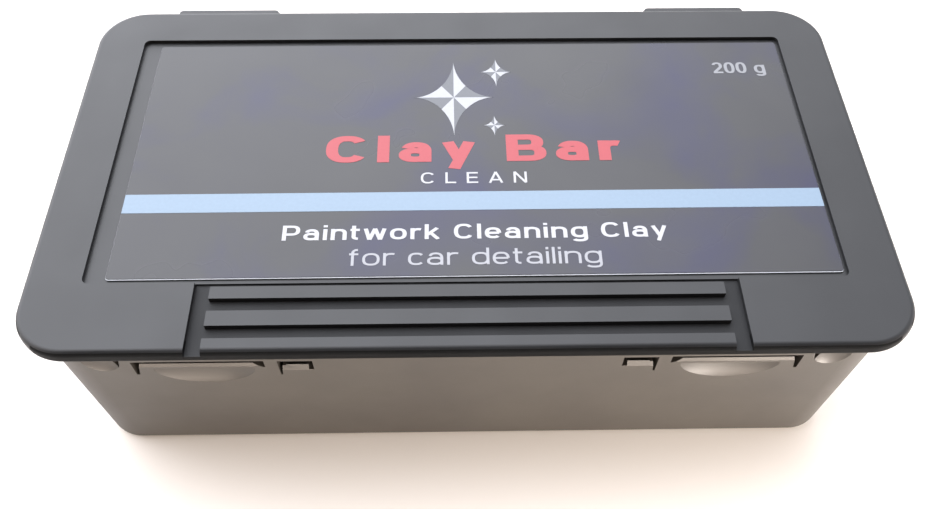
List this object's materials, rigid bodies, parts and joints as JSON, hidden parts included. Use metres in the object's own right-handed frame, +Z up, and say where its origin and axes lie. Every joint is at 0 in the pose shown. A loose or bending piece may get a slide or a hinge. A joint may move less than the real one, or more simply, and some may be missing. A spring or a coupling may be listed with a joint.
{
  "type": "clay bar case",
  "caption": "Hinged snap-shut plastic case with a labelled lid, holding a block of detailing clay in a film sleeve.",
  "frame": {"origin": "on the case's flat underside, below the middle of the lid", "axes": "+X to the right along the case's length, +Y from the latches towards the hinges, +Z up"},
  "size_m": [0.12, 0.0686, 0.0327],
  "materials": {
    "case_plastic": "satin",
    "pin_plastic": "satin",
    "label_film": "gloss",
    "clay": "matte",
    "clear_film": "gloss"
  },
  "bodies": {
    "tray": {"base_tray": "case_plastic", "hinge_pin_left": "pin_plastic", "hinge_pin_right": "pin_plastic", "clay_bar": "clay", "clay_film": "clear_film"},
    "lid": {"lid_shell": "case_plastic", "lid_label": "label_film"},
    "latch_left": {"latch_tongue_left": "case_plastic"},
    "latch_right": {"latch_tongue_right": "case_plastic"}
  },
  "joints": [
    {"name": "lid_hinge", "type": "hinge", "parent": "tray", "child": "lid", "pos_m": [0, 0.0335, 0.028], "axis": [-1, 0, 0], "range_deg": [0, 120]},
    {"name": "latch_left_flex", "type": "hinge", "parent": "lid", "child": "latch_left", "pos_m": [-0.0365, -0.0279, 0.0302], "axis": [1, 0, 0], "range_deg": [0, 18], "stiffness_Nm_per_rad": 0.2},
    {"name": "latch_right_flex", "type": "hinge", "parent": "lid", "child": "latch_right", "pos_m": [0.0365, -0.0279, 0.0302], "axis": [1, 0, 0], "range_deg": [0, 18], "stiffness_Nm_per_rad": 0.2}
  ]
}
